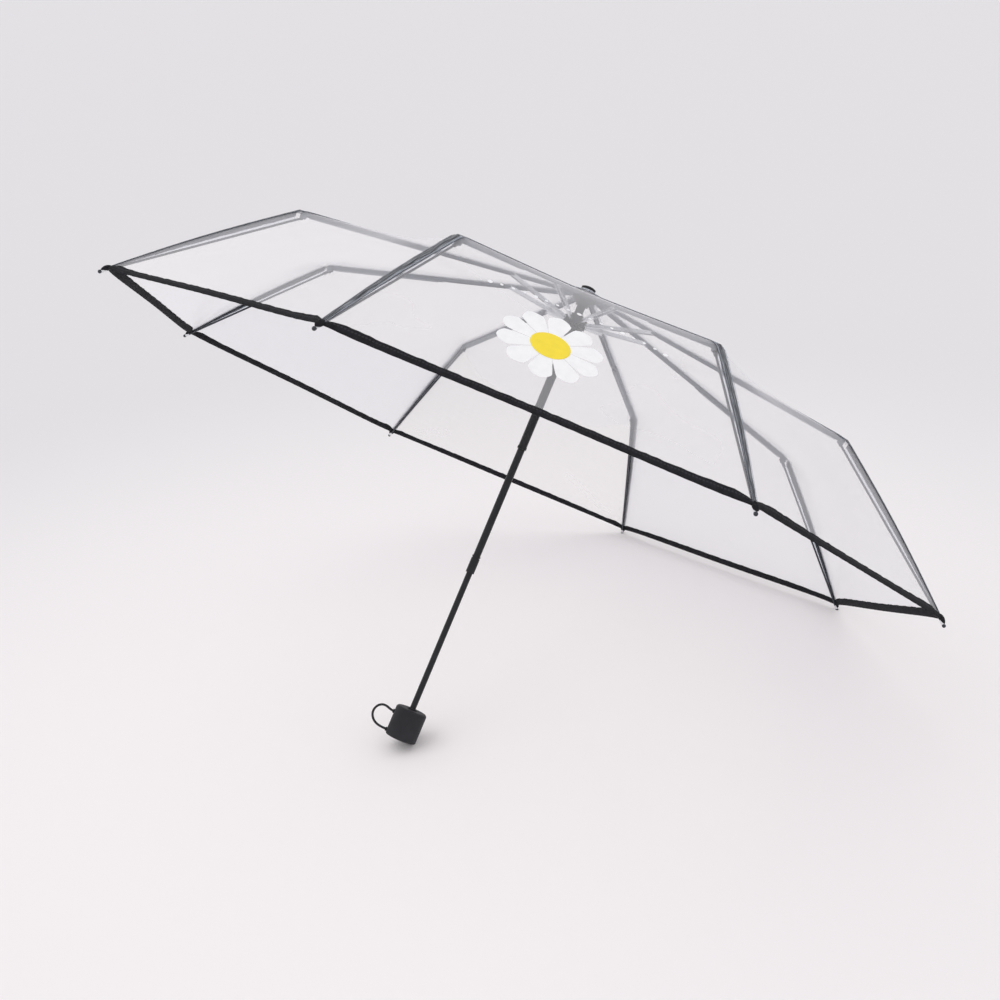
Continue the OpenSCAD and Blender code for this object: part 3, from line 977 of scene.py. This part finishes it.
@dataclass
class Seams(CanopyPart):
    """The welded seams that run over the ribs from the crown to the tips."""

    crown_width: float = 11.0 * MM
    fold_width: float = 11.0 * MM
    tip_width: float = 5.5 * MM
    thickness: float = 0.3 * MM
    bead: float = 0.45 * MM
    over: float = 0.35 * MM
    crown_clear: float = 2.0 * MM
    fin_start: float = 3 * MM
    fold_aside: float = 4.4 * MM
    pressed: float = 0.08
    row: float = 6 * MM
    wire: tuple = ((322 * MM, 457.4 * MM), (469.5 * MM, 330.2 * MM))

    def width(self, along: ndarray) -> ndarray:
        """Return the seam's width at distances along the film."""
        marks = self.shape.marks
        widths = [self.crown_width, self.fold_width, self.tip_width]
        return np.interp(along, [marks[0], marks[3], marks[4]], widths)

    def band(self, rib: int, section: Section) -> Object:
        """Make one length of seam, riding on the rib under it."""
        start, end = self.shape.span(section)
        if section is Section.INNER:
            start += self.crown_clear

        def mapping(x: ndarray, y: ndarray) -> ndarray:
            """Lay the grid over the rib, with a raised bead near either edge."""
            along = start + (end - start) * (1 - y) / 2
            drift = 0.05 * np.sin(61 * along + 2.1 * rib) + 0.03 * np.sin(173 * along + rib)
            off = (x * 0.5 + drift * (1 - x**2)) * self.width(along)
            ridge = np.exp(-(((np.abs(x) - 0.8) / 0.16) ** 2))
            waver = np.abs(0.15 * np.sin(240 * along + 3 * x + rib) * MM)
            return self.shape.beside(rib, off, along, self.over + self.bead * ridge + waver)

        rows = int((end - start) / self.row)
        obj = mapped_grid(f"seam_{section.value}_{rib}", 12, rows, mapping)
        apply_modifier(obj, "SOLIDIFY", thickness=self.thickness, offset=1.0)
        smooth(obj, SOFT_EDGE)
        finish = "end_seam" if section is Section.OUTER else "seam_film"
        self.settle(obj, f"{section.rib}_{rib}", "seam_film", finish)
        self.fold_beside(obj, rib, self.fold_aside, self.pressed)
        return obj

    def fin(self, rib: int) -> None:
        """Make the seam allowance that stands between the outer film and the end rib's wire."""
        start, end = self.shape.span(Section.OUTER)
        first, last = np.array(self.wire)
        turn = self.shape.rib_azimuth(rib)

        def mapping(x: ndarray, y: ndarray) -> ndarray:
            """Spread the grid in the rib's own plane, from the film down to the wire."""
            along = start + self.fin_start + (end - start - self.fin_start) * (1 - y) / 2
            share = ((along - start) / (end - start))[:, None]
            film, wire = self.shape.line(along), first + share * (last - first)
            place = film + (x[:, None] + 1) / 2 * (wire - film)
            ripple = 0.25 * np.sin(150 * along + rib) * (1 - x**2) * MM
            return np.c_[
                place[:, 0] * cos(turn) - ripple * sin(turn),
                place[:, 0] * sin(turn) + ripple * cos(turn),
                place[:, 1],
            ]

        obj = mapped_grid(f"seam_fin_{rib}", 6, 32, mapping)
        apply_modifier(obj, "SOLIDIFY", thickness=self.thickness, offset=0.0)
        smooth(obj, SOFT_EDGE)
        self.settle(obj, f"rib_end_{rib}", "seam_film", "seam_fin")
        self.fold_beside(obj, rib, self.fold_aside, self.pressed)

    def build(self) -> dict[tuple, Object]:
        """Make every length of seam, and return the ones on the film by section and rib."""
        for k in range(1, self.shape.ribs + 1):
            self.fin(k)
        return {
            (section, k): self.band(k, section)
            for k in range(1, self.shape.ribs + 1)
            for section in Section
        }


@dataclass
class Hem(CanopyPart):
    """The black binding folded over the film's lower edge, gathered at the corners."""

    width: float = 9.4 * MM
    corner_width: float = 5.6 * MM
    thickness: float = 1.5 * MM
    corner_thickness: float = 2.6 * MM
    past_edge: float = 0.8 * MM
    gather: float = 0.09
    pocket: tuple = (5.6 * MM, 3.5 * MM, 2.3 * MM)

    def tape(self, gore: int) -> Object:
        """Make one gore's length of binding."""
        edge = self.shape.marks[4]

        def mapping(x: ndarray, y: ndarray) -> ndarray:
            """Roll the grid into a flattened tube along the film's edge."""
            across = y * 0.988
            bunch = np.clip((np.abs(across) - 1 + self.gather) / self.gather, 0, 1) ** 2
            slack = 0.05 * np.sin(47 * across + gore) + 0.04 * np.sin(121 * across + 2.3 * gore)
            wide = self.width + (self.corner_width - self.width) * bunch
            thick = self.thickness + (self.corner_thickness - self.thickness) * bunch
            wide, thick = wide * (1 + 0.5 * slack), thick * (1 + 2.2 * slack)
            turn = pi * (x + 1)
            c, s = np.cos(turn), np.sin(turn)
            flat_c = np.sign(c) * np.abs(c) ** 0.7
            inward = wide / 2 * (1 - flat_c) - self.past_edge
            up = thick / 2 * np.sign(s) * np.abs(s) ** 0.8
            up = up + 0.12 * MM * np.sin(150 * across + gore)
            return self.shape.over(gore, across, edge - inward, up)

        obj = mapped_grid(f"hem_{gore}", 18, 72, mapping)
        close_tube(obj)
        smooth(obj, 50)
        self.settle(obj, f"canopy_outer_{gore}", "hem_fabric")
        self.fold_to(obj, gore, self.shape.tip)
        return obj

    def corner_pattern(self) -> Object:
        """Model the gathered pocket of binding at a corner, along +X, with its mouth at 0."""
        add = bpy.ops.mesh.primitive_uv_sphere_add
        obj = primitive(add, "corner", segments=20, ring_count=14, radius=1.0)
        x, y, z = get_places(obj).T
        length, wide, deep = self.pocket
        taper = 1 - 0.3 * np.clip(x, 0, 1) ** 2
        fold = 1 + 0.1 * np.sin(5 * np.arctan2(z, y) + 2.5 * x)
        set_places(obj, np.c_[x * length, y * wide * taper * fold, z * deep * taper * fold])
        smooth(obj, SOFT_EDGE)
        return obj

    def build(self) -> dict[int, list]:
        """Make the binding and its corners, and return the pieces by gore."""
        made = {}
        pattern = self.corner_pattern()
        for k in range(1, self.shape.ribs + 1):
            made[k] = [self.tape(k)]
            frame = self.shape.rib_frame(k, self.shape.tip, self.past_tip())
            corner = placed_copy(pattern, f"hem_corner_{k}", frame)
            self.settle(corner, f"rib_end_{k}", "hem_fabric")
            made[k].append(corner)
        drop(pattern)
        return made

    def past_tip(self) -> tuple:
        """Return a point straight past the corner, down the slope of the outer film."""
        (r0, z0), (r1, z1) = self.shape.fold, self.shape.tip
        return (2 * r1 - r0, 2 * z1 - z0)


@dataclass
class Print(CanopyPart):
    """A plain ten-petalled flower and an arc of dots, printed on the front gore."""

    gore: int = 2
    centre_along: float = 107 * MM
    centre_aside: float = -12 * MM
    flower_r: float = 46 * MM
    heart_r: float = 17.5 * MM
    petals: int = 10
    dots: int = 17
    dot_r: float = 1.5 * MM
    arc_half: float = 80 * MM
    ink: float = 0.12 * MM
    height: float = 0.25 * MM
    heart_lift: float = 0.2 * MM
    arc_below: float = 38 * MM
    arc_sag: float = 13 * MM
    big_every: int = 4
    big_size: float = 1.5

    def lay(self, obj: Object, lift: float) -> None:
        """Lay a flat drawing on the film, with its +Y towards the crown.

        Args:
            obj: the drawing, with its origin at the flower's centre.
            lift: its height over the film.
        """
        places = get_places(obj)
        along = self.shape.marks[3] + self.centre_along - places[:, 1]
        half_width = self.shape.line(along)[:, 0] * sin(self.shape.half)
        across = (places[:, 0] + self.centre_aside) / half_width
        set_places(obj, self.shape.over(self.gore, across, along, lift))
        apply_modifier(obj, "SOLIDIFY", thickness=self.ink, offset=1.0)
        smooth(obj, 40)

    def disc(self, name: str, vertices: int, rings: int) -> Object:
        """Model a flat disc of radius 1 with inset rings, so that it can follow a curve."""
        add = bpy.ops.mesh.primitive_circle_add
        obj = primitive(add, name, vertices=vertices, radius=1.0, fill_type="NGON")
        edit(obj, "FACE")
        for _ in range(rings):
            bpy.ops.mesh.inset(thickness=0.8 / (rings + 1))
        deselect()
        return obj

    def petal_pattern(self) -> Object:
        """Model one broad petal along +Y, from the flower's centre outwards."""
        obj = self.disc("petal", 32, 4)
        places = get_places(obj)
        x, y = places[:, 0], places[:, 1]
        start = self.heart_r * 0.72
        reach = start + (y + 1) / 2 * (self.flower_r - start)
        widest = 0.93 * tan(pi / self.petals)
        rim = np.sqrt(np.clip(1 - y**2, 1e-6, 1))
        round_end = np.clip((y + 1) / 2, 0, 1)
        width = reach * widest * (1 - 0.22 * round_end**3)
        share = x / rim
        square = np.clip(rim * (1.75 - 0.75 * round_end), 0, 1)
        set_places(obj, np.c_[share * square * width, reach, 0 * x])
        return obj

    def join(self, parts: list, name: str) -> Object:
        """Join pieces into one mesh."""
        deselect()
        for part in parts:
            part.select_set(True)
        bpy.context.view_layer.objects.active = parts[0]
        bpy.ops.object.join()
        parts[0].name = parts[0].data.name = name
        return parts[0]

    def build(self) -> list:
        """Make the print and return its pieces."""
        petal = self.petal_pattern()
        turned = [
            placed_copy(petal, f"petal_{i}", Matrix.Rotation(2 * pi * i / self.petals, 4, "Z"))
            for i in range(self.petals)
        ]
        drop(petal)
        flower = self.join(turned, "print_petals")
        self.lay(flower, self.height)
        heart = self.disc("print_heart", 40, 5)
        heart.data.transform(Matrix.Scale(self.heart_r, 4))
        self.lay(heart, self.height + self.heart_lift)
        dot = self.disc("dot", 16, 1)
        dot.data.transform(Matrix.Scale(self.dot_r, 4))
        copies = []
        for i in range(self.dots):
            share = 2 * i / (self.dots - 1) - 1
            x = share * self.arc_half - self.centre_aside
            y = self.centre_along - self.arc_below - self.arc_sag * share**2
            size = self.big_size if i % self.big_every == 0 else 1.0
            move = Matrix.Translation((x, y, 0)) @ Matrix.Scale(size, 4)
            copies.append(placed_copy(dot, f"dot_{i}", move))
        drop(dot)
        arc = self.join(copies, "print_dots")
        self.lay(arc, self.height)
        for obj, slot in ((flower, "print_white"), (heart, "print_yellow"), (arc, "print_white")):
            self.settle(obj, f"canopy_outer_{self.gore}", slot)
            self.fold_to(obj, self.gore, self.shape.tip)
        return [flower, heart, arc]


@dataclass
class WristLoop(Assembly):
    """The stiff cord loop on the handle. Its points are those of its CAD tube."""

    diameter: float = 2.6 * MM
    route: tuple = (
        (-19.1, 0, 25), (-21.5, 0, 25.2), (-24, 0.4, 26), (-27, 0.8, 27), (-30, 1.2, 27.2),
        (-33, 1.5, 26.4), (-35.8, 1.5, 24.4), (-37.8, 1.5, 21.4), (-38.8, 1.2, 18),
        (-38.6, 0.8, 14.4), (-37.2, 0.4, 11), (-34.8, 0, 8.2), (-31.6, 0, 6), (-27.8, 0, 4.6),
        (-23, 0, 4.1), (-19.1, 0, 4),
    )

    def build(self) -> None:
        points = [Vector(p) * MM for p in self.route]
        curve = bpy.data.curves.new("wrist_loop_cord", "CURVE")
        curve.dimensions = "3D"
        spline = curve.splines.new("NURBS")
        spline.points.add(len(points) - 1)
        for place, point in zip(points, spline.points):
            point.co = (*place, 1.0)
        spline.order_u = 4
        spline.use_endpoint_u = True
        spline.resolution_u = 6
        curve.bevel_depth = self.diameter / 2
        curve.bevel_resolution = 4
        curve.use_fill_caps = True
        obj = linked("wrist_loop_cord", curve)
        self.settle(obj, "handle", "loop_cord")
        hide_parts("wrist_loop")


# --- rigid pieces


@dataclass
class RibTrim(CanopyPart):
    """The light bars, pull wires and tip sleeves that go with each rib."""

    bar_side: float = 3.3 * MM
    bar_drop: float = 4.4 * MM
    bar_depth: float = 2.2 * MM
    bar_thick: float = 0.9 * MM
    wire_r: float = 0.6 * MM
    wire_side: float = 3.3 * MM
    sleeve_r: float = 1.55 * MM
    sleeve_len: float = 5.0 * MM
    sleeve_wall: float = 0.3 * MM
    sleeve_under: float = 1.7 * MM
    sleeve_past: float = 0.5 * MM
    sleeve_sink: float = 0.6 * MM
    fold_at: float = 315.883 * MM

    def bar_pattern(self) -> Object:
        """Model the link beside a top rib: a flat bar whose ends rise to the two rivets."""
        length = self.shape.top_len - self.shape.strut_len
        middle = (length / 2, 0, 0)
        obj = primitive(bpy.ops.mesh.primitive_cube_add, "bar", size=1.0, location=middle)
        edit(obj)
        size = (length, self.bar_thick, self.bar_depth)
        bpy.ops.transform.resize(value=size, center_override=middle)
        steps = ((0.16, 0.25), (0.1, 0.35), (0.05, 0.4))
        bend_ends(obj, length, 18, steps, Vector((0, 0, self.bar_drop)))
        apply_modifier(obj, "BEVEL", width=0.2 * MM, segments=2, limit_method="ANGLE")
        smooth(obj)
        return obj

    def rod(self, name: str, vertices: int, radius: float, length: float) -> Object:
        """Model a plain rod along +X from 0."""
        return primitive(
            bpy.ops.mesh.primitive_cylinder_add, name, vertices=vertices, radius=radius,
            depth=length,
            location=(length / 2, 0, 0), rotation=(0, pi / 2, 0),
        )

    def wire_pattern(self) -> Object:
        """Model the pull wire beside a middle rib, with its ends bent in."""
        length = self.fold_at - self.shape.top_len
        obj = self.rod("wire", 10, self.wire_r, length)
        steps = ((0.08, 0.3), (0.055, 0.4), (0.03, 0.3))
        bend_ends(obj, length, 30, steps, Vector((0, 0.5 * MM, -1.2 * MM)))
        smooth(obj)
        return obj

    def sleeve_pattern(self) -> Object:
        """Model the bright sleeve past a corner, along +X from 0, with a rolled rim."""
        obj = self.rod("sleeve", 20, self.sleeve_r, self.sleeve_len)
        sink_end(obj, 0, self.sleeve_wall, self.sleeve_sink, 0.25 * MM)
        return obj

    def build(self) -> None:
        """Make the trim of all eight ribs."""
        shape = self.shape
        bar, wire, sleeve = self.bar_pattern(), self.wire_pattern(), self.sleeve_pattern()
        dr, dz = shape.tip[0] - shape.fold[0], shape.tip[1] - shape.fold[1]
        dr, dz = dr / hypot(dr, dz), dz / hypot(dr, dz)
        first = (
            shape.tip[0] + dz * self.sleeve_under + dr * self.sleeve_past,
            shape.tip[1] - dr * self.sleeve_under + dz * self.sleeve_past,
        )
        last = (first[0] + dr, first[1] + dz)
        for k in range(1, shape.ribs + 1):
            frame = shape.rib_frame(k, shape.on_line(0), shape.on_line(shape.top_len))
            bar_at = frame @ Matrix.Translation((shape.strut_len, self.bar_side, -self.bar_drop))
            wire_at = frame @ Matrix.Translation((shape.top_len, -self.wire_side, 0))
            for pattern, name, body, slot, place in (
                (bar, "link_bar", "rib_top", "rib_paint", bar_at),
                (wire, "pull_wire", "rib_middle", "rib_paint", wire_at),
                (sleeve, "tip_sleeve", "rib_end", "tip_metal", shape.rib_frame(k, first, last)),
            ):
                self.settle(placed_copy(pattern, f"{name}_{k}", place), f"{body}_{k}", slot)
        for pattern in (bar, wire, sleeve):
            drop(pattern)


@dataclass
class Grip(Assembly):
    """The handle's raised rim round the shaft's entry."""

    rim_r: float = 5.6 * MM
    rim_height: float = 1.4 * MM
    sunk: float = 0.4 * MM
    shaft_r: float = 3.45 * MM

    def build(self) -> None:
        """Make the rim, its foot sunk into the handle."""
        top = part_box("handle")[1].z
        obj = primitive(
            bpy.ops.mesh.primitive_cylinder_add, "handle_rim", vertices=48, radius=self.rim_r,
            depth=self.rim_height + self.sunk,
            location=(0, 0, top + (self.rim_height - self.sunk) / 2),
        )
        sink_end(obj, 2, self.rim_r - self.shaft_r, 0.8 * MM, 0.5 * MM)
        self.settle(obj, "handle", "handle_plastic")


@dataclass
class Metalwork(Assembly):
    """The CAD model's own parts, which keep their shapes and get their finishes."""

    nodes: dict
    record: dict

    def build(self) -> None:
        """Dress every CAD node with the finish of its slot in the record."""
        for part in self.record["subparts"]:
            dress(self.nodes[part["node"]], self.finishes[part["material_slot"]])
        log.info("%d CAD nodes dressed", len(self.record["subparts"]))


# --- studio


@dataclass
class Studio:
    """A pale seamless floor under the leaning umbrella, soft light and the camera."""

    floor_normal: tuple = (-0.4335, -0.4335, 0.79)
    floor_offset: float = -0.01073
    # the floor's colour next to the object, raised to paint a pool of light there
    floor_near: tuple = (0.90, 0.868, 0.872)
    floor_far: tuple = (0.742, 0.728, 0.742)
    floor_size: float = 400.0
    eye: tuple = (-0.0043, -1.4083, 0.2154)
    look_at: tuple = (-0.0002, 0.0, 0.2813)
    roll: float = radians(22.76)
    lens: float = 46.3
    world: tuple = (0.93, 0.925, 0.94)
    world_strength: float = 0.95
    sun_strength: float = 0.5
    sun_side: tuple = (0.92, -0.02, 0.387)

    def camera(self) -> None:
        """Set the camera at its place, rolled so that the floor looks level."""
        forward = (Vector(self.look_at) - Vector(self.eye)).normalized()
        level = forward.cross(Vector((0, 0, 1))).normalized()
        upright = level.cross(forward)
        right = cos(self.roll) * level + sin(self.roll) * upright
        up = right.cross(forward)
        back = -forward
        data = bpy.data.cameras.new("camera")
        data.lens, data.sensor_width = self.lens, 36.0
        data.clip_start, data.clip_end = 0.01, 500.0
        obj = linked("camera", data)
        obj.matrix_world = Matrix((
            (right.x, up.x, back.x, self.eye[0]), (right.y, up.y, back.y, self.eye[1]),
            (right.z, up.z, back.z, self.eye[2]), (0, 0, 0, 1),
        ))
        bpy.context.scene.camera = obj

    def floor(self) -> None:
        """Lay the floor under the handle's edge and two rib tips."""
        normal = Vector(self.floor_normal).normalized()
        deselect()
        bpy.ops.mesh.primitive_plane_add(size=self.floor_size)
        obj = bpy.context.object
        obj.name = "floor"
        turn = normal.to_track_quat("Z", "Y").to_matrix().to_4x4()
        obj.data.transform(Matrix.Translation(normal * self.floor_offset) @ turn)
        dress(obj, Paper("floor_paper", self.floor_near, self.floor_far).build())

    def light(self) -> None:
        """Light the scene evenly from all round, with one broad soft light from above."""
        scene = bpy.context.scene
        world = bpy.data.worlds.new("studio")
        scene.world = world
        world.use_nodes = True
        background = world.node_tree.nodes["Background"]
        background.inputs[0].default_value = (*self.world, 1.0)
        background.inputs[1].default_value = self.world_strength
        normal = Vector(self.floor_normal).normalized()
        data = bpy.data.lights.new("key", "SUN")
        data.energy, data.angle = self.sun_strength, radians(50)
        key = linked("key", data)
        towards = normal - 0.5 * Vector(self.sun_side) - 0.1 * Vector((0, 1, 0))
        key.visible_glossy = False
        key.rotation_mode = "QUATERNION"
        key.rotation_quaternion = towards.normalized().to_track_quat("Z", "Y")
        scene.view_settings.view_transform = "Standard"
        scene.cycles.transparent_max_bounces = 32

    def build(self) -> None:
        """Make the whole studio."""
        self.camera()
        self.floor()
        self.light()


def main() -> None:
    """Build the umbrella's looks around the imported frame."""
    logging.basicConfig(level=logging.INFO, format="%(message)s")
    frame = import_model()
    deselect()
    Studio().build()
    shape, finishes = CanopyShape(), Finishes.build()
    WristLoop(finishes).build()
    Metalwork(finishes, frame["nodes"], frame["record"]).build()
    film = Film(finishes, shape)
    film.build()
    seams = Seams(finishes, shape).build()
    hems = Hem(finishes, shape).build()
    print_pieces = Print(finishes, shape).build()
    extras: dict[tuple, list] = {key: [piece] for key, piece in seams.items()}
    for gore, pieces in hems.items():
        extras[Section.OUTER, gore] += pieces
    extras[Section.OUTER, Print.gore] += print_pieces
    film.declare(extras)
    RibTrim(finishes, shape).build()
    Grip(finishes).build()


if __name__ == "__main__":
    main()
